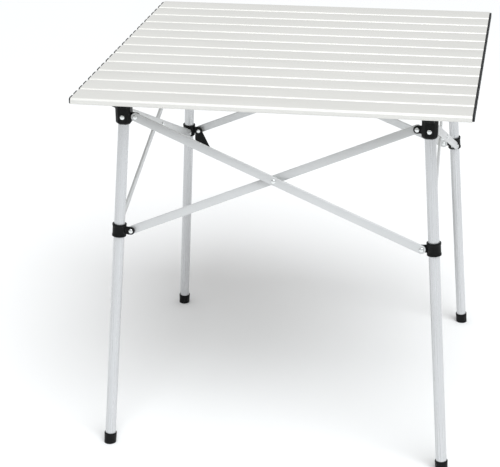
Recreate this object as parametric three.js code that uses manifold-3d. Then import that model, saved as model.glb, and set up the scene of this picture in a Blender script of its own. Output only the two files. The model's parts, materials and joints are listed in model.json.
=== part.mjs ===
import * as THREE from "three";
import { mergeVertices } from "three/addons/utils/BufferGeometryUtils.js";
import Module from "manifold-3d";

// A folding picnic table: a slatted roll-up top on four tube legs joined by scissor bars.
// Millimetres, +Z up, origin on the floor under the middle of the top, -Y is the front.

// ---- driving dimensions ----
const TOP_SIZE = 700; // side of the square top, and its height above the floor
const TOP_HEIGHT = 700;
const SLAT_COUNT = 12;
const SLAT_THICK = 12;
const SLAT_GAP = 1.6; // open seam between two slats
const SLAT_EDGE_R = 4.2; // rounding of a slat's upper edges
const SLAT_FOOT_R = 1; // rounding of its lower edges
const SLAT_NOSE_R = 5.8; // rounding of the top's front and rear edges
const SLAT_WALL = 1.3;
const SLAT_RIB = 1.6; // middle rib inside a slat

const HEAD_X = 272; // leg axis at the height of the head's pins, from the middle
const HEAD_Z = 648;
const FOOT_X = 318; // leg axis at the floor
const LEG_R = 10;
const LEG_WALL = 1.2;
const LEG_TOP = 22; // tube above the head's pins
const LEG_LIFT = 3; // tube end above the floor, inside its foot

const EAR_OUT = 22; // pin of an ear from the leg axis
const EAR_R = 7;
const EAR_THICK = 5;
const SLIDER_DROP = 217; // slider pins below the head pins, along the leg
const SLIDER_R = 12.8;
const SLIDER_LIP_R = 13.4;
const SLIDER_HEIGHT = 24;
const SLIDER_BORE_R = 10.35;
const SLIDER_LIP = 4; // height of the lip at each end of a slider
const SLIDER_EASE = 1; // slope behind it

const HEAD_HALF = 14; // half width of a head's block
const HEAD_CUT = 6; // corner chamfer of the block
const HEAD_BELOW = 15; // block below the pins
const PAD_THICK = 10;
const PAD_HALF = 20.5;
const PAD_CUT = 7;
const PAD_SHIFT = 6.5; // the pad stands out towards the table's corner
const ARM_OUT = 12.5; // short arm under the pad, on one side of the block
const ARM_HALF = 9;
const ARM_LOW = 667; // its lower face above the floor

const BAR_WIDTH = 15.5;
const BAR_THICK = 4;
const BAR_ROOM = 1.3; // between a bar and the ear it is riveted to
const REAR_ROOM = 3.2; // the same for the rear inner bar, the last one fitted
const PIN_R = 2.5;
const DOME_R = 4.3;
const DOME_HIGH = 2.2;
const DOME_SHOULDER_R = 3.1; // where a rivet's dome turns over
const DOME_SHOULDER = 1.65;
const SPACER_R = 6.5;

const FOOT_R = 12;
const FOOT_TIP_R = 11;
const FOOT_HEIGHT = 21;
const FOOT_RIM = 1; // rounding of the cap's upper rim, inwards and down
const FOOT_RIM_DROP = 2;

const CATCH_WIDTH = 24; // the frame's catch lever, on one slider only
const CATCH_LENGTH = 46;
const CATCH_THICK = 3;
const CATCH_LEAN = 62; // degrees below the ear's own direction
const CATCH_HEEL = 19.2; // its heel below the ear's pin

const GAP = 0.3; // room between neighbouring pieces
const ROUND = 28; // facets of a full circle
const RIVET_ROUND = 16; // the same on a rivet
const CORNER_STEPS = 4;

const CORNERS = ["front_left", "front_right", "rear_right", "rear_left"];
const SIDES = ["front", "right", "rear", "left"]; // side k runs from corner k to corner k + 1

// ---- finishes, one per mesh ----
const FINISHES = {
  slat: { color: 0xdbdad5, metalness: 0.35, roughness: 0.45 },
  tube: { color: 0xc9cbcd, metalness: 0.9, roughness: 0.3 },
  bar: { color: 0xd9dcd9, metalness: 0.8, roughness: 0.35 },
  black: { color: 0x17181a, metalness: 0, roughness: 0.5 },
  rivet: { color: 0xdfe4e6, metalness: 0.9, roughness: 0.25 },
};

// ---- cutting and joining ----
const wasm = await Module();
wasm.setup();

function toSolid(geometry) {
  const plain = geometry.clone();
  plain.deleteAttribute("normal");
  plain.deleteAttribute("uv");
  const merged = mergeVertices(plain, 1e-4);
  const vertProperties = new Float32Array(merged.attributes.position.array);
  const triVerts = new Uint32Array(merged.index.array);
  return new wasm.Manifold(new wasm.Mesh({ numProp: 3, vertProperties, triVerts }));
}

function toGeometry(solid) {
  const mesh = solid.getMesh();
  const geometry = new THREE.BufferGeometry();
  geometry.setAttribute("position", new THREE.BufferAttribute(new Float32Array(mesh.vertProperties), 3));
  geometry.setIndex(new THREE.BufferAttribute(new Uint32Array(mesh.triVerts), 1));
  return geometry;
}

const join = (parts) => toGeometry(wasm.Manifold.union(parts.map(toSolid)));
const cut = (body, tools) => toGeometry(toSolid(body).subtract(wasm.Manifold.union(tools.map(toSolid))));

// ---- places ----
const vec = (x, y, z) => new THREE.Vector3(x, y, z);
const HEAD_POINT = vec(-HEAD_X, -HEAD_X, HEAD_Z);
const FOOT_POINT = vec(-FOOT_X, -FOOT_X, 0);
const LEG_DIR = FOOT_POINT.clone().sub(HEAD_POINT).normalize();

// A frame whose x, y and z axes are given, standing at a point.
function frameAt(point, x, y, z) {
  return new THREE.Matrix4().makeBasis(x, y, z).setPosition(point);
}

// The part of a direction that is square to the leg.
function squareToLeg(direction) {
  return direction.clone().addScaledVector(LEG_DIR, -direction.dot(LEG_DIR)).normalize();
}

// Ear frames of the front left leg: x out to the pin, y down the leg, z out of or into the table.
const EAR_NEXT = squareToLeg(vec(1, 0, 0));
const EAR_PREV = squareToLeg(vec(0, 1, 0));
const NORMAL_NEXT = EAR_NEXT.clone().cross(LEG_DIR);
const NORMAL_PREV = EAR_PREV.clone().cross(LEG_DIR);
const OUTWARD = NORMAL_NEXT.y < 0 ? NORMAL_NEXT.clone() : NORMAL_NEXT.clone().negate();

const alongLeg = (drop) => HEAD_POINT.clone().addScaledVector(LEG_DIR, drop);
const earPin = (ear, drop) => alongLeg(drop).addScaledVector(ear, EAR_OUT);

// ---- basic shapes ----
function lathe(points, steps = ROUND) {
  const profile = points.map(([r, z]) => new THREE.Vector2(r, z));
  return new THREE.LatheGeometry(profile, steps).rotateX(Math.PI / 2);
}

function cylinder(radius, low, high) {
  return lathe([[0, low], [radius, low], [radius, high], [0, high]]);
}

// A flat outline in x and y, given a thickness from low to high along z.
function plate(shape, low, high) {
  const settings = { depth: high - low, bevelEnabled: false, curveSegments: CORNER_STEPS };
  return new THREE.ExtrudeGeometry(shape, settings).translate(0, 0, low);
}

function outline(points) {
  return new THREE.Shape(points.map(([x, y]) => new THREE.Vector2(x, y)));
}

function circlePoints(cx, cy, radius, from, to, steps) {
  const points = [];
  for (let i = 0; i <= steps; i += 1) {
    const angle = from + ((to - from) * i) / steps;
    points.push([cx + radius * Math.cos(angle), cy + radius * Math.sin(angle)]);
  }
  return points;
}

// A square with cut corners, centred on (cx, cy).
function cutSquare(half, corner, cx = 0, cy = 0) {
  const k = half - corner;
  const points = [[half, -k], [half, k], [k, half], [-k, half],
    [-half, k], [-half, -k], [-k, -half], [k, -half]];
  return outline(points.map(([x, y]) => [x + cx, y + cy]));
}

// ---- slats ----
function slatOutline(low, high, lowNose, highNose) {
  const top = TOP_HEIGHT;
  const under = TOP_HEIGHT - SLAT_THICK;
  const quarter = Math.PI / 2;
  const foot = (nose) => (nose ? SLAT_NOSE_R : SLAT_FOOT_R);
  const edge = (nose) => (nose ? SLAT_NOSE_R : SLAT_EDGE_R);
  const corner = (x, y, r, from) => circlePoints(x, y, r, from, from + quarter, CORNER_STEPS);
  return [
    ...corner(high - foot(highNose), under + foot(highNose), foot(highNose), -quarter),
    ...corner(high - edge(highNose), top - edge(highNose), edge(highNose), 0),
    ...corner(low + edge(lowNose), top - edge(lowNose), edge(lowNose), quarter),
    ...corner(low + foot(lowNose), under + foot(lowNose), foot(lowNose), 2 * quarter),
  ];
}

function channel(low, high) {
  const bottom = TOP_HEIGHT - SLAT_THICK + SLAT_WALL;
  const top = TOP_HEIGHT - SLAT_WALL;
  const lean = SLAT_EDGE_R - SLAT_WALL; // keeps a full wall at the rounded edges
  const points = [[low, bottom], [high, bottom], [high, top - lean], [high - lean, top], [low + lean, top]];
  return plate(outline([...points, [low, top - lean]]), -TOP_SIZE, TOP_SIZE);
}

function makeSlat(index) {
  const pitch = TOP_SIZE / SLAT_COUNT;
  const rear = TOP_SIZE / 2 - index * pitch - (index === 0 ? 0 : SLAT_GAP / 2);
  const lastOne = index === SLAT_COUNT - 1;
  const front = TOP_SIZE / 2 - (index + 1) * pitch + (lastOne ? 0 : SLAT_GAP / 2);
  const middle = (front + rear) / 2;
  const body = plate(outline(slatOutline(front, rear, lastOne, index === 0)), -TOP_SIZE / 2, TOP_SIZE / 2);
  const inset = SLAT_WALL * 2;
  const channels = [
    channel(front + inset, middle - SLAT_RIB / 2),
    channel(middle + SLAT_RIB / 2, rear - inset),
  ];
  const swap = frameAt(vec(0, 0, 0), vec(0, 1, 0), vec(0, 0, 1), vec(1, 0, 0));
  return cut(body, channels).applyMatrix4(swap);
}

// ---- legs and feet ----
const legFrame = (drop) => frameAt(alongLeg(drop), EAR_NEXT, LEG_DIR.clone().cross(EAR_NEXT), LEG_DIR);
const legLength = () => FOOT_POINT.distanceTo(HEAD_POINT);

function makeLeg() {
  const end = legLength() - LEG_LIFT;
  const tube = cylinder(LEG_R, -LEG_TOP, end);
  return cut(tube, [cylinder(LEG_R - LEG_WALL, -LEG_TOP * 2, end * 2)]).applyMatrix4(legFrame(0));
}

function makeFoot() {
  const length = legLength();
  const rim = length - FOOT_HEIGHT;
  const socket = LEG_R + GAP;
  const reach = FOOT_R * 2; // the cap is turned long, then cut off level with the floor
  const cap = lathe([
    [0, length - LEG_LIFT + GAP], [socket, length - LEG_LIFT + GAP], [socket, rim],
    [FOOT_R - FOOT_RIM, rim], [FOOT_R, rim + FOOT_RIM_DROP], [FOOT_TIP_R, length + reach],
    [0, length + reach],
  ]);
  const floor = new THREE.BoxGeometry(TOP_SIZE, TOP_SIZE, TOP_SIZE)
    .translate(-FOOT_X, -FOOT_X, -TOP_SIZE / 2);
  return cut(cap.applyMatrix4(legFrame(0)), [floor]);
}

// ---- ears, heads and sliders ----
function earShape() {
  const round = circlePoints(EAR_OUT, 0, EAR_R, -Math.PI / 2, Math.PI / 2, ROUND / 2);
  return outline([[0, -EAR_R], ...round, [0, EAR_R]]);
}

const earFrame = (ear, normal, drop) => frameAt(alongLeg(drop), ear, LEG_DIR, normal);

function makeEar(ear, normal, drop) {
  return plate(earShape(), -EAR_THICK / 2, EAR_THICK / 2).applyMatrix4(earFrame(ear, normal, drop));
}

function earHole(ear, normal, drop) {
  return cylinder(PIN_R + GAP, -EAR_THICK, EAR_THICK).translate(EAR_OUT, 0, 0)
    .applyMatrix4(earFrame(ear, normal, drop));
}

const bothEars = (drop) => [makeEar(EAR_NEXT, NORMAL_NEXT, drop), makeEar(EAR_PREV, NORMAL_PREV, drop)];
const bothHoles = (drop) => [earHole(EAR_NEXT, NORMAL_NEXT, drop), earHole(EAR_PREV, NORMAL_PREV, drop)];

function makeHead() {
  const top = TOP_HEIGHT - SLAT_THICK - GAP;
  const base = HEAD_Z - HEAD_BELOW;
  const block = plate(cutSquare(HEAD_HALF, HEAD_CUT, -HEAD_X, -HEAD_X), base, top - PAD_THICK / 2);
  const out = -HEAD_X - PAD_SHIFT;
  const pad = plate(cutSquare(PAD_HALF, PAD_CUT, out, out), top - PAD_THICK, top);
  const [armEnd, side, other] = [-HEAD_X - HEAD_HALF - ARM_OUT, -HEAD_X - ARM_HALF, -HEAD_X + ARM_HALF];
  const armFlat = outline([[armEnd, side], [-HEAD_X, side], [-HEAD_X, other], [armEnd, other]]);
  const arm = plate(armFlat, ARM_LOW, top - PAD_THICK / 2);
  const socket = cylinder(LEG_R + GAP, -LEG_TOP - GAP, legLength()).applyMatrix4(legFrame(0));
  return cut(join([block, pad, arm, ...bothEars(0)]), [socket, ...bothHoles(0)]);
}

function makeSlider() {
  const half = SLIDER_HEIGHT / 2;
  const lip = half - SLIDER_LIP;
  const waist = lip - SLIDER_EASE;
  const sleeve = lathe([
    [0, -half], [SLIDER_LIP_R, -half], [SLIDER_LIP_R, -lip], [SLIDER_R, -waist],
    [SLIDER_R, waist], [SLIDER_LIP_R, lip], [SLIDER_LIP_R, half], [0, half],
  ]).applyMatrix4(legFrame(SLIDER_DROP));
  const bore = cylinder(SLIDER_BORE_R, -SLIDER_HEIGHT, SLIDER_HEIGHT).applyMatrix4(legFrame(SLIDER_DROP));
  return cut(join([sleeve, ...bothEars(SLIDER_DROP)]), [bore, ...bothHoles(SLIDER_DROP)]);
}

// ---- scissor bars of the front side; the other sides are the same, turned ----
const nextCorner = (point) => vec(-point.x, point.y, point.z); // the same point on the next leg
const BAR_OFFSET = EAR_THICK / 2 + BAR_ROOM + BAR_THICK / 2;
const REAR_OFFSET = EAR_THICK / 2 + REAR_ROOM + BAR_THICK / 2;

const PINS = {
  headNear: earPin(EAR_NEXT, 0),
  headFar: nextCorner(earPin(EAR_NEXT, 0)),
  sliderNear: earPin(EAR_NEXT, SLIDER_DROP),
  sliderFar: nextCorner(earPin(EAR_NEXT, SLIDER_DROP)),
};

// Where the two bars of a side cross, by symmetry straight above the middle of the side.
function crossingPoint() {
  const share = -PINS.headNear.x / (PINS.sliderFar.x - PINS.headNear.x);
  return PINS.headNear.clone().lerp(PINS.sliderFar, share);
}

const CROSSING = crossingPoint();

// x runs down the bar, z out of the table.
function barFrame(from, to) {
  const x = to.clone().sub(from).normalize();
  return frameAt(from, x, OUTWARD.clone().cross(x), OUTWARD);
}

function makeBar(from, to, offset) {
  const length = from.distanceTo(to);
  const r = BAR_WIDTH / 2;
  const steps = ROUND / 2;
  const shape = outline([
    ...circlePoints(0, 0, r, Math.PI / 2, (3 * Math.PI) / 2, steps),
    ...circlePoints(length, 0, r, -Math.PI / 2, Math.PI / 2, steps),
  ]);
  const bar = plate(shape, offset - BAR_THICK / 2, offset + BAR_THICK / 2);
  const holes = [0, from.distanceTo(CROSSING), length]
    .map((x) => cylinder(PIN_R + GAP, offset - BAR_THICK, offset + BAR_THICK).translate(x, 0, 0));
  return cut(bar, holes).applyMatrix4(barFrame(from, to));
}

// ---- rivets; each is turned about z, which points out of the table ----
const domeOut = (z) => [[DOME_R, z], [DOME_SHOULDER_R, z + DOME_SHOULDER], [0, z + DOME_HIGH]];
const domeIn = (z) => domeOut(-z).map(([r, y]) => [r, -y]).reverse();

const turnRivet = (points) => lathe(points, RIVET_ROUND);

// A shank with a dome at each end; low and high are the faces that the domes sit on.
const rivet = (low, high) => turnRivet([...domeIn(low), [PIN_R, low], [PIN_R, high], ...domeOut(high)]);

const OUTER_FACE = BAR_OFFSET + BAR_THICK / 2 + GAP;
const REAR_FACE = REAR_OFFSET + BAR_THICK / 2 + GAP;
const EAR_FACE = EAR_THICK / 2 + GAP;
const SPACER_HALF = BAR_OFFSET - BAR_THICK / 2 - GAP;

// Through both bars, with a spacer between them.
const crossingRivet = () => turnRivet([
  ...domeIn(-OUTER_FACE), [PIN_R, -OUTER_FACE], [PIN_R, -SPACER_HALF], [SPACER_R, -SPACER_HALF],
  [SPACER_R, SPACER_HALF], [PIN_R, SPACER_HALF], [PIN_R, OUTER_FACE], ...domeOut(OUTER_FACE),
]);

// Through the outer bar only: the scissor's open joint, and the open ends on the sliders.
const openCrossing = () => turnRivet([
  [0, -SPACER_HALF], [SPACER_R, -SPACER_HALF], [SPACER_R, SPACER_HALF], [PIN_R, SPACER_HALF],
  [PIN_R, OUTER_FACE], ...domeOut(OUTER_FACE),
]);
const outerEnd = () => turnRivet([[0, BAR_OFFSET - BAR_THICK / 2], [PIN_R, BAR_OFFSET - BAR_THICK / 2],
  [PIN_R, OUTER_FACE], ...domeOut(OUTER_FACE)]);
// Through a slider's ear only, headed on the outside.
const earPinHead = () => turnRivet([[0, -EAR_THICK / 2], [PIN_R, -EAR_THICK / 2], [PIN_R, EAR_FACE],
  ...domeOut(EAR_FACE)]);

const rivetFrame = (point) => barFrame(point, point.clone().add(vec(1, 0, 0)));

// ---- catch lever riveted to the rear left slider's ear, in the frame of the rear side ----
function catchShape() {
  const lean = (CATCH_LEAN * Math.PI) / 180;
  const [dx, dy] = [Math.cos(lean), Math.sin(lean)];
  const arc = circlePoints(EAR_OUT, 0, EAR_R, Math.PI, Math.PI * 2 + lean - Math.PI / 2, ROUND / 2);
  const [edgeX, edgeY] = arc[arc.length - 1];
  const tip = [edgeX + dx * CATCH_LENGTH, edgeY + dy * CATCH_LENGTH];
  const heel = [tip[0] - dy * CATCH_WIDTH, tip[1] + dx * CATCH_WIDTH];
  return outline([...arc, tip, heel, [EAR_OUT - EAR_R, CATCH_HEEL]]);
}

function makeCatch() {
  const ear = nextCorner(EAR_NEXT);
  const down = nextCorner(LEG_DIR);
  const place = frameAt(nextCorner(alongLeg(SLIDER_DROP)), ear, down, ear.clone().cross(down));
  return plate(catchShape(), -EAR_FACE - CATCH_THICK, -EAR_FACE).applyMatrix4(place);
}

// ---- assembly ----
const group = new THREE.Group();
group.name = "folding_picnic_table";

function add(name, geometry, finish) {
  const mesh = new THREE.Mesh(geometry, new THREE.MeshStandardMaterial(FINISHES[finish]));
  mesh.name = name;
  mesh.material.name = name;
  group.add(mesh);
}

const turn = (geometry, corner) => geometry.clone().rotateZ((corner * Math.PI) / 2);

for (let i = 0; i < SLAT_COUNT; i += 1) add(`slat_${i + 1}`, makeSlat(i), "slat");

const pieces = {
  leg: makeLeg(), foot: makeFoot(), head: makeHead(), slider: makeSlider(),
  outer: makeBar(PINS.headNear, PINS.sliderFar, BAR_OFFSET),
  inner: makeBar(PINS.headFar, PINS.sliderNear, -BAR_OFFSET),
  innerRear: makeBar(PINS.headFar, PINS.sliderNear, -REAR_OFFSET),
  outerRivet: rivet(-EAR_FACE, OUTER_FACE).applyMatrix4(rivetFrame(PINS.headNear)),
  innerRivet: rivet(-OUTER_FACE, EAR_FACE).applyMatrix4(rivetFrame(PINS.headFar)),
  innerRivetRear: rivet(-REAR_FACE, EAR_FACE).applyMatrix4(rivetFrame(PINS.headFar)),
  crossing: crossingRivet().applyMatrix4(rivetFrame(CROSSING)),
  openCrossing: openCrossing().applyMatrix4(rivetFrame(CROSSING)),
  outerEnd: outerEnd().applyMatrix4(rivetFrame(PINS.sliderFar)),
  earPin: earPinHead().applyMatrix4(rivetFrame(PINS.sliderNear)),
};

CORNERS.forEach((corner, k) => {
  add(`leg_${corner}`, turn(pieces.leg, k), "tube");
  add(`foot_${corner}`, turn(pieces.foot, k), "black");
  add(`head_${corner}`, turn(pieces.head, k), "black");
  add(`slider_${corner}`, turn(pieces.slider, k), "black");
  add(`slider_pin_${corner}`, turn(pieces.earPin, k), "rivet");
});

SIDES.forEach((side, k) => {
  const open = side === "rear";
  add(`bar_outer_${side}`, turn(pieces.outer, k), "bar");
  add(`bar_inner_${side}`, turn(open ? pieces.innerRear : pieces.inner, k), "bar");
  add(`rivet_head_outer_${side}`, turn(pieces.outerRivet, k), "rivet");
  add(`rivet_head_inner_${side}`, turn(open ? pieces.innerRivetRear : pieces.innerRivet, k), "rivet");
  add(`rivet_crossing_${side}`, turn(open ? pieces.openCrossing : pieces.crossing, k), "rivet");
  add(`rivet_slider_outer_${side}`, turn(pieces.outerEnd, k), "rivet");
});

add("slider_catch", turn(makeCatch(), SIDES.indexOf("rear")), "black");

export default group;
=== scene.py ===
# %% [markdown]
# # A folding picnic table, finished in Blender
# The table's frame comes in as fixed solids that already fold and roll. This lesson dresses it:
# each metal, plastic and lacquered piece is built again with soft edges and its own finish,
# and rides on the body that moves it. Lengths are metres, +Z is up and -Y is the front.

# %% Load the frame
import json
import math
import bpy
import bmesh
from mathutils import Matrix, Vector


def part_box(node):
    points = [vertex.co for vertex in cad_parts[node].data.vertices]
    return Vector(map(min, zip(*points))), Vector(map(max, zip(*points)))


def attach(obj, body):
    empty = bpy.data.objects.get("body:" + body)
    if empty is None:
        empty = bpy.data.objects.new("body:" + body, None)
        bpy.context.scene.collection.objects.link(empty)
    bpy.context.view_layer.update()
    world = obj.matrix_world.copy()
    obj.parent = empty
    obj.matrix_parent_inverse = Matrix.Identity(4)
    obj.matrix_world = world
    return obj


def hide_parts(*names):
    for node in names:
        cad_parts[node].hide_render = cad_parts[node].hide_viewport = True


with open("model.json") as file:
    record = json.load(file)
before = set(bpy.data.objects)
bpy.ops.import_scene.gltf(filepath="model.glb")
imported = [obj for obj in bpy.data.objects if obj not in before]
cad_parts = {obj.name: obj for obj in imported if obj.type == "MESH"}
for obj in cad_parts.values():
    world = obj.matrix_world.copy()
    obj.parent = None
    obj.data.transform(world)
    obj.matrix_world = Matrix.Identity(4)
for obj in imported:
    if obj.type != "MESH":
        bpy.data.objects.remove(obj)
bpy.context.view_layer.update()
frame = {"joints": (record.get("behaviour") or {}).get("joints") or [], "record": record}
joints = {j["name"]: j for j in frame["joints"]}

# %% [markdown]
# ## The camera
# The camera comes first, because everything else is judged through it. It could be aimed with a
# tracking constraint, but plain angles are easier to read: a turn to the left, a look down, and a
# slight roll of the hand. The lens is long, so the legs stay nearly parallel.

# %% Place the camera
CAMERA_AT = Vector((0.43396, -2.73772, 1.48768))
TURN_LEFT, LOOK_DOWN, ROLL = 0.1924, 0.3975, -0.0146
LENS_MM, SENSOR_MM = 108.13, 36.0


def make_camera():
    """A camera that looks along +Y, turned left, tipped down, then rolled."""
    data = bpy.data.cameras.new("camera")
    data.lens, data.sensor_width = LENS_MM, SENSOR_MM
    camera = bpy.data.objects.new("camera", data)
    bpy.context.scene.collection.objects.link(camera)
    sy, cy, sp, cp = math.sin(TURN_LEFT), math.cos(TURN_LEFT), math.sin(LOOK_DOWN), math.cos(LOOK_DOWN)
    forward = Vector((-sy * cp, cy * cp, -sp))
    right = Vector((cy, sy, 0))
    up = right.cross(forward)
    right, up = (right * math.cos(ROLL) + up * math.sin(ROLL), up * math.cos(ROLL) - right * math.sin(ROLL))
    camera.matrix_world = Matrix.Translation(CAMERA_AT) @ Matrix((right, up, -forward)).transposed().to_4x4()
    bpy.context.scene.camera = camera
    return camera


print("camera", tuple(round(c, 3) for c in make_camera().location))

# %% [markdown]
# ## Where the pins are
# The scissor frame is the same on all four sides, a quarter turn apart. So only the front side's
# pins are read from the joints, and a turn about the upright axis gives the others. Each pin has
# a frame of its own: x along the side, z straight out of the table.

# %% Read the front side's pins
QUARTER = math.pi / 2
SIDES = ["front", "right", "rear", "left"]
CORNERS = ["front_left", "front_right", "rear_right", "rear_left"]
REAR = SIDES.index("rear")


def spin(k):
    """A quarter turn about the upright axis, k times."""
    return Matrix.Rotation(QUARTER * k, 4, "Z")


def mirror(p):
    """The same point on the other leg of the front side."""
    return Vector((-p.x, p.y, p.z))


OUT = -Vector(joints["scissor_front"]["axis"]).normalized()
HEAD_NEAR = Vector(joints["bar_outer_front_swing"]["pos_m"])
HEAD_FAR = Vector(joints["leg_front_right_swing"]["pos_m"])
CROSSING = Vector(joints["scissor_front"]["pos_m"])
SLIDER_NEAR = Vector(joints["slider_front_left_align"]["pos_m"])
SLIDER_FAR = mirror(SLIDER_NEAR)


def basis(point, x, z):
    """A frame at a point whose z is exact and whose x is as near as it can be."""
    z = z.normalized()
    x = (x - z * x.dot(z)).normalized()
    return Matrix.Translation(point) @ Matrix((x, z.cross(x), z)).transposed().to_4x4()


LEG_DIR = (SLIDER_NEAR - HEAD_NEAR).normalized()
print("pins", [tuple(round(c, 4) for c in p) for p in (HEAD_NEAR, CROSSING, SLIDER_NEAR)])

# %% [markdown]
# ## Tools of the bench
# Most pieces are turned on a lathe, cut from a flat outline, or moulded. Three small helpers do
# that. They build bare meshes, so each finish can later be laid on in the piece's own directions.

# %% Mesh helpers
MM = 0.001


def mesh_object(name, bm, smooth=40):
    """Closes a bmesh into an object, smooth except at edges sharper than the angle."""
    bmesh.ops.recalc_face_normals(bm, faces=bm.faces)
    mesh = bpy.data.meshes.new(name)
    bm.to_mesh(mesh)
    bm.free()
    mesh.polygons.foreach_set("use_smooth", [True] * len(mesh.polygons))
    mesh.set_sharp_from_angle(angle=math.radians(smooth))
    made = bpy.data.objects.new(name, mesh)
    bpy.context.scene.collection.objects.link(made)
    return made


def turned(profile, steps=48):
    """A body of revolution about z from (radius, height) pairs in millimetres; ends on the axis close it."""
    bm = bmesh.new()
    rings = []
    for r, z in profile:
        if r < 1e-6:
            rings.append([bm.verts.new((0, 0, z * MM))])
        else:
            turn = [2 * math.pi * i / steps for i in range(steps)]
            rings.append([bm.verts.new((r * MM * math.cos(a), r * MM * math.sin(a), z * MM)) for a in turn])
    for a, b in zip(rings, rings[1:]):
        for i in range(steps):
            j = (i + 1) % steps
            corners = [a[i % len(a)], a[j % len(a)], b[j % len(b)], b[i % len(b)]]
            unique = list(dict.fromkeys(corners))
            if len(unique) > 2:
                bm.faces.new(unique)
    return bm


def flat_piece(outline, low, high, holes=()):
    """A flat outline in x and y, in millimetres, given a thickness along z."""
    bm = bmesh.new()
    loops = [[bm.verts.new((x * MM, y * MM, low * MM)) for x, y in ring] for ring in (outline, *holes)]
    edges = [bm.edges.new((ring[i], ring[(i + 1) % len(ring)])) for ring in loops for i in range(len(ring))]
    made = bmesh.ops.triangle_fill(bm, edges=edges, use_beauty=True)
    faces = [g for g in made["geom"] if isinstance(g, bmesh.types.BMFace)]
    raised = bmesh.ops.extrude_face_region(bm, geom=faces)["geom"]
    bmesh.ops.translate(bm, verts=[v for v in raised if isinstance(v, bmesh.types.BMVert)],
                        vec=(0, 0, (high - low) * MM))
    return bm


def round_edges(bm, width, steps=3, angle=50):
    """Rounds every edge sharper than the angle."""
    bmesh.ops.dissolve_limit(bm, angle_limit=math.radians(1), verts=bm.verts, edges=bm.edges)
    sharp = [e for e in bm.edges if len(e.link_faces) == 2 and e.calc_face_angle() > math.radians(angle)]
    bmesh.ops.bevel(bm, geom=sharp, offset=width * MM, segments=steps, profile=0.5, affect="EDGES",
                    clamp_overlap=True)
    return bm


def arc(cx, cy, r, start, end, steps):
    """Points on an arc, angles in degrees."""
    return [(cx + r * math.cos(math.radians(start + (end - start) * i / steps)),
             cy + r * math.sin(math.radians(start + (end - start) * i / steps))) for i in range(steps + 1)]


print("helpers ready")

# %% [markdown]
# ## Finishes
# A finish is a little tree of nodes. What is the same all over stays a plain number on the
# shader. What varies, such as the drawn lines in a tube, comes from noise that is stretched along
# the piece, so it runs the way the metal was drawn or brushed.


# %% Finish helpers
def new_finish(name, **numbers):
    """A material with one shader; numbers are its sockets' plain values."""
    material = bpy.data.materials.new(name)
    material.use_nodes = True
    shader = material.node_tree.nodes["Principled BSDF"]
    for socket, value in numbers.items():
        shader.inputs[socket.replace("_", " ")].default_value = value
    return material, material.node_tree, shader


def noise(tree, stretch, detail=3.0, rough=0.55, scale=1.0):
    """Noise in the piece's own directions, stretched by giving each a size."""
    place = tree.nodes.new("ShaderNodeTexCoord")
    mapping = tree.nodes.new("ShaderNodeMapping")
    mapping.inputs["Scale"].default_value = stretch
    texture = tree.nodes.new("ShaderNodeTexNoise")
    texture.inputs["Scale"].default_value = scale
    texture.inputs["Detail"].default_value = detail
    texture.inputs["Roughness"].default_value = rough
    tree.links.new(place.outputs["Object"], mapping.inputs["Vector"])
    tree.links.new(mapping.outputs["Vector"], texture.inputs["Vector"])
    return texture.outputs["Fac"]


def between(tree, fac, low, high, from_low=0.3, from_high=0.7):
    """Maps a texture's value to a range of numbers."""
    remap = tree.nodes.new("ShaderNodeMapRange")
    remap.inputs["From Min"].default_value = from_low
    remap.inputs["From Max"].default_value = from_high
    remap.inputs["To Min"].default_value = low
    remap.inputs["To Max"].default_value = high
    tree.links.new(fac, remap.inputs["Value"])
    return remap.outputs["Result"]


def two_tone(tree, fac, dark, light):
    """Mixes two colours by a texture's value."""
    ramp = tree.nodes.new("ShaderNodeValToRGB")
    ramp.color_ramp.elements[0].position, ramp.color_ramp.elements[1].position = 0.3, 0.7
    ramp.color_ramp.elements[0].color = (*dark, 1)
    ramp.color_ramp.elements[1].color = (*light, 1)
    tree.links.new(fac, ramp.inputs["Fac"])
    return ramp.outputs["Color"]


def relief(tree, shader, fac, depth, strength):
    """Raises the surface by a texture's value, depth in millimetres."""
    bump = tree.nodes.new("ShaderNodeBump")
    bump.inputs["Distance"].default_value = depth * MM
    bump.inputs["Strength"].default_value = strength
    tree.links.new(fac, bump.inputs["Height"])
    tree.links.new(bump.outputs["Normal"], shader.inputs["Normal"])


# %% Drawn and lacquered aluminium
def drawn_metal(name, along, dark, light, rough, metallic, depth=0.02):
    """Aluminium with lines along one of the piece's own axes: 0 for x, 1 for y, 2 for z."""
    material, tree, shader = new_finish(name, Metallic=metallic)
    lines = [420.0] * 3
    lines[along] = 5.0
    cloud = [14.0] * 3
    cloud[along] = 4.0
    fine = noise(tree, lines, detail=4.0)
    broad = noise(tree, cloud, detail=2.0)
    tree.links.new(two_tone(tree, broad, dark, light), shader.inputs["Base Color"])
    tree.links.new(between(tree, fine, *rough), shader.inputs["Roughness"])
    relief(tree, shader, fine, depth, 0.35)
    return material


TUBE = drawn_metal("anodised_tube", 2, (0.60, 0.61, 0.62), (0.66, 0.67, 0.685), (0.24, 0.34), 0.5)
BAR = drawn_metal("anodised_bar", 0, (0.60, 0.61, 0.612), (0.66, 0.67, 0.675), (0.30, 0.42), 0.3)
SLAT = drawn_metal("lacquered_slat", 0, (0.765, 0.758, 0.728), (0.80, 0.793, 0.763), (0.40, 0.48), 0.35,
                   0.008)
print("metals", TUBE.name, BAR.name, SLAT.name)


# %% Bright rivet steel and black nylon
def rivet_steel():
    """Rolled steel: bright, with a faint fine mottle in its surface."""
    material, tree, shader = new_finish("rivet_steel", Metallic=1.0)
    cloud = noise(tree, (260.0, 260.0, 260.0), detail=3.0)
    tree.links.new(two_tone(tree, cloud, (0.78, 0.80, 0.80), (0.88, 0.90, 0.90)), shader.inputs["Base Color"])
    tree.links.new(between(tree, cloud, 0.16, 0.3), shader.inputs["Roughness"])
    relief(tree, shader, cloud, 0.03, 0.3)
    return material


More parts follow.
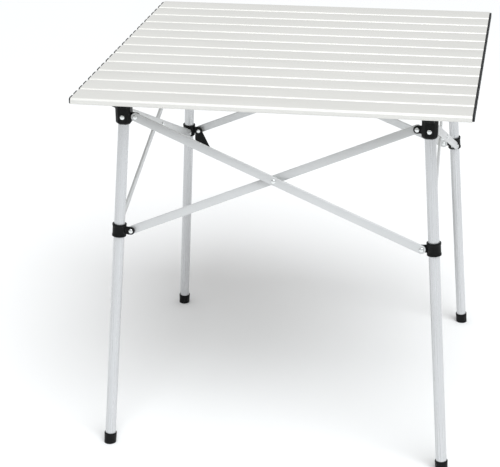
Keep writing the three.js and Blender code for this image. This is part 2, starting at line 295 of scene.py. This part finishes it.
def black_nylon(name, tone=1.0):
    """Moulded nylon: near black, with the fine spark grain of its mould."""
    material, tree, shader = new_finish(name, Specular_IOR_Level=0.15)
    grain = noise(tree, (1500.0, 1500.0, 1500.0), detail=2.0)
    cloud = noise(tree, (60.0, 60.0, 60.0), detail=2.0)
    dark, light = (0.003 * tone, 0.0032 * tone, 0.0034 * tone), (0.006 * tone, 0.0063 * tone, 0.0066 * tone)
    tree.links.new(two_tone(tree, cloud, dark, light), shader.inputs["Base Color"])
    tree.links.new(between(tree, cloud, 0.38, 0.52), shader.inputs["Roughness"])
    relief(tree, shader, grain, 0.05, 0.5)
    return material


RIVET = rivet_steel()
NYLON = black_nylon("black_nylon")
PLUG = black_nylon("end_plug_nylon", 5.0)
print("finishes", [m.name for m in bpy.data.materials])

# %% [markdown]
# ## Dressing a solid
# A finished piece stands for its plain solid, which is then hidden. Its material goes on, it is
# put in its frame, and it rides on the solid's body, so it folds with it.


# %% Put a piece in place
def body_of(node):
    """The body that carries a solid."""
    bodies = frame["record"]["behaviour"]["bodies"]
    return next(b for b, nodes in bodies.items() if node in nodes)


def dress(piece, matrix, finish, body=None, stands_for=()):
    """Gives a piece its place, finish and body, and hides the solids it stands for."""
    piece.matrix_world = matrix
    if not piece.data.materials:
        piece.data.materials.append(finish)
    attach(piece, body or body_of(stands_for[0]))
    if stands_for:
        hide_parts(*stands_for)
    return piece


def copy_of(piece, name):
    """Another object with the same mesh."""
    made = bpy.data.objects.new(name, piece.data)
    bpy.context.scene.collection.objects.link(made)
    return made


def four(first, make_name, place, finish, stand, body=None, rear=None):
    """The same piece on the four sides or corners, a quarter turn apart. The rear side can have
    a place, or a place and a piece, of its own."""
    rear_place, rear_piece = rear or (place, None)
    for k in range(4):
        own = rear_piece if k == REAR else None
        piece = own or (first if k == 0 else copy_of(first, make_name(k)))
        piece.name = make_name(k)
        nodes = stand(k)
        here = rear_place if k == REAR else place
        dress(piece, spin(k) @ here, finish, body(k) if body else None, nodes)


# %% [markdown]
# ## The slats
# Each slat is a hollow extrusion with two channels and rounded upper edges, which catch the light
# beside every seam. A profile drawn once and pulled to length gives exactly that. The front and
# rear slats have a full round nose on their outer edge.

# %% Slat profile
SLAT_WALL, SLAT_RIB, EDGE_R, FOOT_R, NOSE_R = 1.3, 1.6, 4.2, 1.0, 5.8
PLUG_HEAD = 4.0
SLAT_NODES = [f"slat_{i + 1}" for i in range(12)]


def slat_profile(low, high, under, top, low_nose, high_nose):
    """The outline of a slat, seen along its length, in millimetres."""
    foot_l, foot_h = (NOSE_R if low_nose else FOOT_R), (NOSE_R if high_nose else FOOT_R)
    edge_l, edge_h = (NOSE_R if low_nose else EDGE_R), (NOSE_R if high_nose else EDGE_R)
    return (arc(high - foot_h, under + foot_h, foot_h, -90, 0, 5)
            + arc(high - edge_h, top - edge_h, edge_h, 0, 90, 8)
            + arc(low + edge_l, top - edge_l, edge_l, 90, 180, 8)
            + arc(low + foot_l, under + foot_l, foot_l, 180, 270, 5))


def channel(low, high, under, top):
    """One of a slat's two channels."""
    b, t, lean = under + SLAT_WALL, top - SLAT_WALL, EDGE_R - SLAT_WALL
    return [(low, b), (high, b), (high, t - lean), (high - lean, t), (low + lean, t), (low, t - lean)]


# The profile lies in y and z and is pulled along x.
ALONG_X = Matrix(((0, 0, 1, 0), (1, 0, 0, 0), (0, 1, 0, 0), (0, 0, 0, 1)))


def channels_of(node):
    """The two channels of a slat, and its box, in millimetres."""
    lo, hi = (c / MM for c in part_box(node))
    middle, inset = (lo.y + hi.y) / 2, SLAT_WALL * 2
    return lo, hi, [channel(lo.y + inset, middle - SLAT_RIB / 2, lo.z, hi.z),
                    channel(middle + SLAT_RIB / 2, hi.y - inset, lo.z, hi.z)]


for node in SLAT_NODES:
    lo, hi, channels = channels_of(node)
    outline = slat_profile(lo.y, hi.y, lo.z, hi.z, node == SLAT_NODES[-1], node == SLAT_NODES[0])
    bm = flat_piece(outline, lo.x + PLUG_HEAD, hi.x - PLUG_HEAD, channels)
    bmesh.ops.transform(bm, matrix=ALONG_X, verts=bm.verts)
    dress(mesh_object(f"finished_{node}", bm, 30), Matrix.Identity(4), SLAT, stands_for=[node])
print("slats", len(SLAT_NODES))

# %% [markdown]
# ## The end plugs
# Each channel is stopped with a dark plastic plug, whose head stands out past the cut metal and
# draws a dark beaded line along the table's sides. They could be one long strip, but each slat
# needs its own pair to roll up with it.

# %% Plug the slats' ends
PLUG_DEEP, PLUG_ROOM, HEAD_SIDE, HEAD_BELOW_TOP = 9.0, 0.15, 20.0, 0.9


def shrunk(ring, by):
    """A convex outline drawn in towards its middle."""
    cx, cy = (sum(p[i] for p in ring) / len(ring) for i in (0, 1))
    return [(x - math.copysign(by, x - cx), y - math.copysign(by, y - cy)) for x, y in ring]


def plug_shape(ring, lo, hi, sign):
    """A plug's shank inside its channel, and its head outside, as two closed shapes."""
    mouth = hi.x - PLUG_HEAD
    shank = flat_piece(shrunk(ring, PLUG_ROOM), *sorted((sign * mouth, sign * (mouth - PLUG_DEEP))))
    middle = sum(p[0] for p in ring) / len(ring)
    low, high, half, cut = lo.z + HEAD_BELOW_TOP, hi.z - HEAD_BELOW_TOP, HEAD_SIDE / 2, 2.5
    head_ring = [(middle - half, low), (middle + half, low), (middle + half, high - cut),
                 (middle + half - cut, high), (middle - half + cut, high), (middle - half, high - cut)]
    head = round_edges(flat_piece(head_ring, *sorted((sign * mouth, sign * hi.x))), 0.9, 3, 30)
    return shank, head


for node in SLAT_NODES:
    lo, hi, channels = channels_of(node)
    for end, sign in (("left", -1), ("right", 1)):
        for half, ring in zip("ab", channels):
            for part, bm in zip(("shank", "head"), plug_shape(ring, lo, hi, sign)):
                bmesh.ops.transform(bm, matrix=ALONG_X, verts=bm.verts)
                piece = mesh_object(f"plug_{part}_{node}_{end}_{half}", bm)
                dress(piece, Matrix.Identity(4), PLUG, body_of(node))
print("plugs", 4 * len(SLAT_NODES))

# %% [markdown]
# ## The legs
# A leg is a plain drawn tube. It is turned about its own axis, so that the drawn lines of its
# finish run from head to foot.

# %% Turn the leg tubes
EAR_OUT = 22.0
LEG_R, LEG_WALL, LEG_ABOVE, LEG_LIFT = 10.0, 1.2, 22.0, 3.0
EAR_DIR = (Vector((1, 0, 0)) - LEG_DIR * LEG_DIR.x).normalized()
HEAD_POINT = HEAD_NEAR - EAR_DIR * EAR_OUT * MM
LEG_LONG = HEAD_POINT.z / -LEG_DIR.z / MM


def leg_frame(drop):
    """A frame on the front left leg's axis: z down the leg, x towards the front right leg."""
    return basis(HEAD_POINT + LEG_DIR * drop * MM, EAR_DIR, LEG_DIR)


tube = turned([(LEG_R - LEG_WALL, -LEG_ABOVE), (LEG_R, -LEG_ABOVE), (LEG_R, LEG_LONG - LEG_LIFT),
               (LEG_R - LEG_WALL, LEG_LONG - LEG_LIFT), (LEG_R - LEG_WALL, -LEG_ABOVE)])
bmesh.ops.remove_doubles(tube, verts=tube.verts, dist=1e-6)
four(mesh_object("tube", tube), lambda k: f"finished_leg_{CORNERS[k]}", leg_frame(0), TUBE,
     lambda k: [f"leg_{CORNERS[k]}"])
print("leg tubes, length", round(LEG_LONG + LEG_ABOVE - LEG_LIFT, 1), "mm")

# %% [markdown]
# ## The scissor bars
# The bars are flat drawn strips with full round ends and slightly eased edges. An outline with
# two half circles, given its thickness and a small bevel, is quick and exact.

# %% Cut the bars
BAR_WIDE, BAR_THICK, BAR_OFFSET = 15.5, 4.0, 5.8
REAR_OFFSET = 7.7  # the rear inner bar stands further in than the others
BAR_LONG = (SLIDER_FAR - HEAD_NEAR).length / MM


def bar_mesh(name):
    """A strip along x with round ends."""
    r = BAR_WIDE / 2
    outline = arc(0, 0, r, 90, 270, 20) + arc(BAR_LONG, 0, r, -90, 90, 20)
    return mesh_object(name, round_edges(flat_piece(outline, -BAR_THICK / 2, BAR_THICK / 2), 0.9, 3))


def bar_place(start, end, offset):
    """Down the bar, its face square to the side, moved out of or into the table."""
    return basis(start + OUT * offset * MM, end - start, OUT)


four(bar_mesh("outer"), lambda k: f"finished_bar_outer_{SIDES[k]}",
     bar_place(HEAD_NEAR, SLIDER_FAR, BAR_OFFSET), BAR, lambda k: [f"bar_outer_{SIDES[k]}"])
four(bar_mesh("inner"), lambda k: f"finished_bar_inner_{SIDES[k]}",
     bar_place(HEAD_FAR, SLIDER_NEAR, -BAR_OFFSET), BAR, lambda k: [f"bar_inner_{SIDES[k]}"],
     rear=(bar_place(HEAD_FAR, SLIDER_NEAR, -REAR_OFFSET), None))
print("bars, length over the pins", round(BAR_LONG, 1), "mm")

# %% [markdown]
# ## Rivets
# A rivet head is a low dome with a thin flat rim. It is turned like the tubes. The dome is what
# catches the light, so it gets more rings than the shank.

# %% Turn the rivets
PIN_R, DOME_R, DOME_HIGH, SPACER_R = 2.5, 4.3, 2.2, 6.5
EAR_HALF, GAP = 2.5, 0.3
EAR_FACE = EAR_HALF + GAP
BAR_FACE = BAR_OFFSET + BAR_THICK / 2 + GAP
REAR_FACE = REAR_OFFSET + BAR_THICK / 2 + GAP


def dome(z, sign=1):
    """The head of a rivet, standing on height z."""
    high = DOME_HIGH - 0.4
    curve = [(DOME_R * math.cos(a), z + sign * (0.4 + high * math.sin(a)))
             for a in [QUARTER * i / 7 for i in range(8)]]
    return [(DOME_R - 0.15, z), (DOME_R, z + sign * 0.15)] + curve[:-1] + [(0, z + sign * DOME_HIGH)]


def rivet(name, low, high, spacer=0.0):
    """A shank with a dome at each end, and a spacer in the middle if it has one."""
    shank = [(PIN_R, low), (PIN_R, high)]
    if spacer:
        half = BAR_OFFSET - BAR_THICK / 2 - GAP
        shank = [(PIN_R, low), (PIN_R, -half), (spacer, -half), (spacer, half), (PIN_R, half), (PIN_R, high)]
    return mesh_object(name, turned(dome(low, -1)[::-1] + shank + dome(high), 32), 30)


def tail(name, face, deep, sign):
    """A dome on one face with a short shank behind it."""
    ring = [(0, face - sign * deep), (PIN_R, face - sign * deep), (PIN_R, face)]
    return mesh_object(name, turned(ring + dome(face, sign), 32), 30)


def pin_place(point):
    """At a pin of the front side, z straight out."""
    return basis(point, Vector((1, 0, 0)), OUT)


four(rivet("a", -EAR_FACE, BAR_FACE), lambda k: f"finished_rivet_head_outer_{SIDES[k]}", pin_place(HEAD_NEAR),
     RIVET, lambda k: [f"rivet_head_outer_{SIDES[k]}"])
four(rivet("b", -BAR_FACE, EAR_FACE), lambda k: f"finished_rivet_head_inner_{SIDES[k]}", pin_place(HEAD_FAR),
     RIVET, lambda k: [f"rivet_head_inner_{SIDES[k]}"],
     rear=(pin_place(HEAD_FAR), rivet("b_rear", -REAR_FACE, EAR_FACE)))
four(rivet("c", -BAR_FACE, BAR_FACE, SPACER_R), lambda k: f"finished_rivet_crossing_{SIDES[k]}",
     pin_place(CROSSING), RIVET, lambda k: [f"rivet_crossing_{SIDES[k]}"])
four(tail("d", BAR_FACE, BAR_THICK, 1), lambda k: f"finished_rivet_slider_outer_{SIDES[k]}",
     pin_place(SLIDER_FAR), RIVET, lambda k: [f"rivet_slider_outer_{SIDES[k]}"])
four(tail("e", EAR_FACE, EAR_HALF * 2, 1), lambda k: f"finished_slider_pin_{CORNERS[k]}",
     pin_place(SLIDER_NEAR), RIVET, lambda k: [f"slider_pin_{CORNERS[k]}"])
four(tail("f", -BAR_FACE, BAR_THICK, -1), lambda k: f"rivet_tail_inner_{SIDES[k]}", pin_place(SLIDER_NEAR),
     RIVET, lambda k: [], lambda k: f"bar_inner_{SIDES[k]}",
     rear=(pin_place(SLIDER_NEAR), tail("f_rear", -REAR_FACE, BAR_THICK, -1)))
print("rivets turned")

# %% [markdown]
# ## Moulded nylon: heads, sliders, feet and catch
# Moulded pieces have no sharp edge anywhere. Joining plain blocks and then melting them together
# with a fine voxel skin gives the soft, continuous corners that a mould gives, where a bevel on
# so many meeting shapes would break.


# %% Melt blocks into one moulding
def melt(name, parts, voxel=0.7, soften=4):
    """Joins closed shapes into one skin with softened edges."""
    whole = bpy.data.meshes.new(name)
    joined = bmesh.new()
    for bm in parts:
        bmesh.ops.recalc_face_normals(bm, faces=bm.faces)
        part = bpy.data.meshes.new("part")
        bm.to_mesh(part)
        bm.free()
        joined.from_mesh(part)
        bpy.data.meshes.remove(part)
    joined.to_mesh(whole)
    joined.free()
    made = bpy.data.objects.new(name, whole)
    bpy.context.scene.collection.objects.link(made)
    skin = made.modifiers.new("skin", "REMESH")
    skin.mode, skin.voxel_size, skin.use_smooth_shade = "VOXEL", voxel * MM, True
    ease = made.modifiers.new("ease", "SMOOTH")
    ease.factor, ease.iterations = 0.5, soften
    thin = made.modifiers.new("thin", "DECIMATE")
    thin.ratio = 0.35
    graph = bpy.context.evaluated_depsgraph_get()
    made.data = bpy.data.meshes.new_from_object(made.evaluated_get(graph), depsgraph=graph)
    made.modifiers.clear()
    made.data.polygons.foreach_set("use_smooth", [True] * len(made.data.polygons))
    return made


def moved(bm, matrix):
    """A bmesh put somewhere else, with its offsets in metres."""
    bmesh.ops.transform(bm, matrix=matrix, verts=bm.verts)
    return bm


EAR_R = 7.0
EAR_PREV_DIR = (Vector((0, 1, 0)) - LEG_DIR * LEG_DIR.y).normalized()


def ear(direction, drop):
    """A flat arm with a round end, standing on the leg's axis."""
    normal = direction.cross(LEG_DIR)
    place = basis(HEAD_POINT + LEG_DIR * drop * MM, direction, normal)
    outline = [(6, -EAR_R)] + arc(EAR_OUT, 0, EAR_R, -90, 90, 24) + [(6, EAR_R)]
    return moved(flat_piece(outline, -EAR_HALF, EAR_HALF), place)


def ears(drop):
    """Both ears at one height."""
    return [ear(EAR_DIR, drop), ear(EAR_PREV_DIR, drop)]


# %% Mould the heads
HEAD_HALF, HEAD_CUT, HEAD_BELOW, PAD_THICK, PAD_HALF, PAD_CUT = 14.0, 6.0, 15.0, 10.0, 20.5, 7.0
head_low, head_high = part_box("head_front_left")
head_axis = HEAD_POINT / MM


def cut_square(half, corner, cx, cy):
    """A square with cut corners."""
    k = half - corner
    ring = [(half, -k), (half, k), (k, half), (-k, half), (-half, k), (-half, -k), (-k, -half), (k, -half)]
    return [(x + cx, y + cy) for x, y in ring]


head_top, head_base = head_high.z / MM, head_low.z / MM
pad_centre = head_low.x / MM + PAD_HALF
HEAD_TAPER, ARM_OUT, ARM_HALF, ARM_LOW = 4.0, 12.5, 9.0, 667.0
PAD_LAP, ARM_ROOT = 3, 4  # how far the block stops below the pad, and the arm reaches into it


def hull(points):
    """The smallest closed shape round some points, in millimetres."""
    bm = bmesh.new()
    bmesh.ops.convex_hull(bm, input=[bm.verts.new((x * MM, y * MM, z * MM)) for x, y, z in points])
    return bm


def tapered(axis, base, top):
    """The head's block, drawn in at its lower end."""
    wide, narrow = (cut_square(HEAD_HALF - d, HEAD_CUT - d / 3, axis.x, axis.y)
                    for d in (0, HEAD_TAPER * 0.8))
    return hull([(*p, top) for p in wide] + [(*p, base + HEAD_TAPER) for p in wide]
                + [(*p, base) for p in narrow])


arm_x, arm_y = head_axis.x - HEAD_HALF, head_axis.y
arm = [(arm_x - dx, arm_y + side * ARM_HALF, z) for side in (-1, 1)
       for dx, z in ((-ARM_ROOT, ARM_LOW - 5), (ARM_OUT - 4, ARM_LOW), (ARM_OUT, ARM_LOW + 4),
                     (ARM_OUT, head_top - PAD_LAP), (-ARM_ROOT, head_top - PAD_LAP))]
blocks = [
    tapered(head_axis, head_axis.z - HEAD_BELOW, head_top - PAD_LAP),
    hull(arm),
    flat_piece(cut_square(PAD_HALF, PAD_CUT, pad_centre, pad_centre), head_top - PAD_THICK, head_top),
    *ears(0),
]
four(melt("head", blocks), lambda k: f"finished_head_{CORNERS[k]}", Matrix.Identity(4), NYLON,
     lambda k: [f"head_{CORNERS[k]}"])
print("heads moulded, from", round(head_base, 1), "to", round(head_top, 1))

# %% Mould the sliders
SLIDER_DROP = (SLIDER_NEAR - HEAD_NEAR).length / MM
sleeve = turned([(10.3, -12), (13.2, -12), (13.2, -8.2), (12.5, -7), (12.5, 7), (13.2, 8.2), (13.2, 12),
                 (10.3, 12), (10.3, -12)])
bmesh.ops.remove_doubles(sleeve, verts=sleeve.verts, dist=1e-6)
sleeve = moved(sleeve, leg_frame(SLIDER_DROP))
arms = []
for direction in (EAR_DIR, EAR_PREV_DIR):
    place = basis(HEAD_POINT + LEG_DIR * SLIDER_DROP * MM, direction, direction.cross(LEG_DIR))
    outline = [(11.4, -EAR_R)] + arc(EAR_OUT, 0, EAR_R, -90, 90, 24) + [(11.4, EAR_R)]
    arms.append(moved(flat_piece(outline, -EAR_HALF, EAR_HALF), place))
four(melt("slider", [sleeve, *arms], 0.55, 3), lambda k: f"finished_slider_{CORNERS[k]}",
     Matrix.Identity(4), NYLON, lambda k: [f"slider_{CORNERS[k]}"])
print("sliders moulded")

# %% Turn the feet
FOOT_TALL = 21.0
foot_axis = leg_frame(LEG_LONG)
cap = turned([(0, -LEG_LIFT + 0.3), (10.3, -LEG_LIFT + 0.3), (10.3, -FOOT_TALL), (10.9, -FOOT_TALL),
              (11.6, -FOOT_TALL + 0.5), (12.0, -FOOT_TALL + 1.6), (11.8, -FOOT_TALL + 5),
              (11.5, -8), (11.5, -7),
              (11.2, -6.6), (11.2, -5.6), (11.5, -5.2), (11.4, 12), (0, 12)])
cap = moved(cap, foot_axis)
bmesh.ops.bisect_plane(cap, geom=cap.verts[:] + cap.edges[:] + cap.faces[:], plane_co=(0, 0, 0),
                       plane_no=(0, 0, -1), clear_outer=True)
bmesh.ops.holes_fill(cap, edges=[e for e in cap.edges if e.is_boundary])
four(mesh_object("cap", cap, 35), lambda k: f"finished_foot_{CORNERS[k]}", Matrix.Identity(4), NYLON,
     lambda k: [f"foot_{CORNERS[k]}"])
print("feet turned")

# %% [markdown]
# ## Small things
# The heads are pinned to their tubes with one rivet each, the outer bars' ends have a rivet tail
# behind the slider's ear, and one slider carries the catch that keeps the frame open.

# %% Head pins, tails and the catch
HEAD_PIN_BELOW, PIN_SUNK, TAIL_DEEP = 0.5, 0.2, 3
CATCH_WIDE, CATCH_LONG, CATCH_THICK, CATCH_LEAN, CATCH_HEEL = 24.0, 46.0, 3.0, 62, 19.2
pin_point = HEAD_POINT + LEG_DIR * HEAD_PIN_BELOW * MM
for k, corner in enumerate(CORNERS):
    at = spin(k) @ pin_point
    for face, sign in (("front", -1), ("rear", 1)):
        place = basis(Vector((at.x, (spin(k) @ HEAD_POINT).y, at.z)), Vector((1, 0, 0)), Vector((0, sign, 0)))
        pin = tail(f"head_pin_{corner}_{face}", HEAD_HALF - PIN_SUNK, TAIL_DEEP, 1)
        dress(pin, place, RIVET, f"leg_{corner}")
for k in range(4):
    catch_side = SIDES[k] == "rear"
    face = -EAR_FACE - (CATCH_THICK if catch_side else 0.0)
    piece = tail(f"rivet_tail_ear_{SIDES[k]}", face, TAIL_DEEP, -1)
    dress(piece, spin(k) @ pin_place(SLIDER_FAR), RIVET, f"slider_{CORNERS[(k + 1) % 4]}")

lean = math.radians(CATCH_LEAN)
dx, dy = math.cos(lean), math.sin(lean)
ring = arc(EAR_OUT, 0, EAR_R, 180, 270 + CATCH_LEAN, 14)
tip = (ring[-1][0] + dx * CATCH_LONG, ring[-1][1] + dy * CATCH_LONG)
heel = (tip[0] - dy * CATCH_WIDE, tip[1] + dx * CATCH_WIDE)
lever = flat_piece(ring + [tip, heel, (EAR_OUT - EAR_R, CATCH_HEEL)], -EAR_FACE - CATCH_THICK, -EAR_FACE)
ear_far, leg_far = mirror(EAR_DIR), mirror(LEG_DIR)
place = basis(mirror(HEAD_POINT + LEG_DIR * SLIDER_DROP * MM), ear_far, ear_far.cross(leg_far))
dress(mesh_object("finished_slider_catch", round_edges(lever, 0.7, 3)), spin(2) @ place, NYLON,
      stands_for=["slider_catch"])
print("small things fitted")

# %% [markdown]
# ## Floor and light
# A plain pale floor and broad soft lights keep attention on the table. The world is nearly white,
# because bright metal mostly shows what stands around it.


# %% Stage
bpy.context.scene.view_settings.view_transform = "Standard"
WORLD_STRENGTH, SUN_STRENGTH, SUN_SPREAD = 0.43, 2.35, math.radians(45)
SUN_TINT, SUN_HEADING = (0.95, 0.98, 1.0), Vector((-0.42, 0.70, -1.15))


def soft_light(name, at, aim, size, power):
    """A square area light aimed at a point."""
    data = bpy.data.lights.new(name, "AREA")
    data.shape, data.size, data.energy = "SQUARE", size, power
    light = bpy.data.objects.new(name, data)
    light.location = at
    light.rotation_euler = (Vector(aim) - Vector(at)).to_track_quat("-Z", "Y").to_euler()
    bpy.context.scene.collection.objects.link(light)


def make_floor():
    """A wide pale floor with a very soft mottle."""
    bm = bmesh.new()
    bmesh.ops.create_grid(bm, x_segments=1, y_segments=1, size=30)
    floor = mesh_object("floor", bm)
    floor.location.z = -0.0002
    material, tree, shader = new_finish("pale_floor", Roughness=0.9)
    cloud = noise(tree, (0.8, 0.8, 0.8), detail=2.0)
    tree.links.new(two_tone(tree, cloud, (0.95, 0.95, 0.95), (0.97, 0.97, 0.97)), shader.inputs["Base Color"])
    floor.data.materials.append(material)


make_floor()
world = bpy.data.worlds.new("world")
world.use_nodes = True
world.node_tree.nodes["Background"].inputs["Color"].default_value = (1, 1, 1, 1)
world.node_tree.nodes["Background"].inputs["Strength"].default_value = WORLD_STRENGTH
bpy.context.scene.world = world
sun = bpy.data.objects.new("key", bpy.data.lights.new("key", "SUN"))
sun.data.energy, sun.data.angle = SUN_STRENGTH, SUN_SPREAD
sun.data.color = SUN_TINT
sun.rotation_euler = SUN_HEADING.to_track_quat("-Z", "Y").to_euler()
bpy.context.scene.collection.objects.link(sun)
soft_light("top_light", (0, 0.1, 2.7), (0, 0, 0.7), 1.8, 13)
print("stage set")
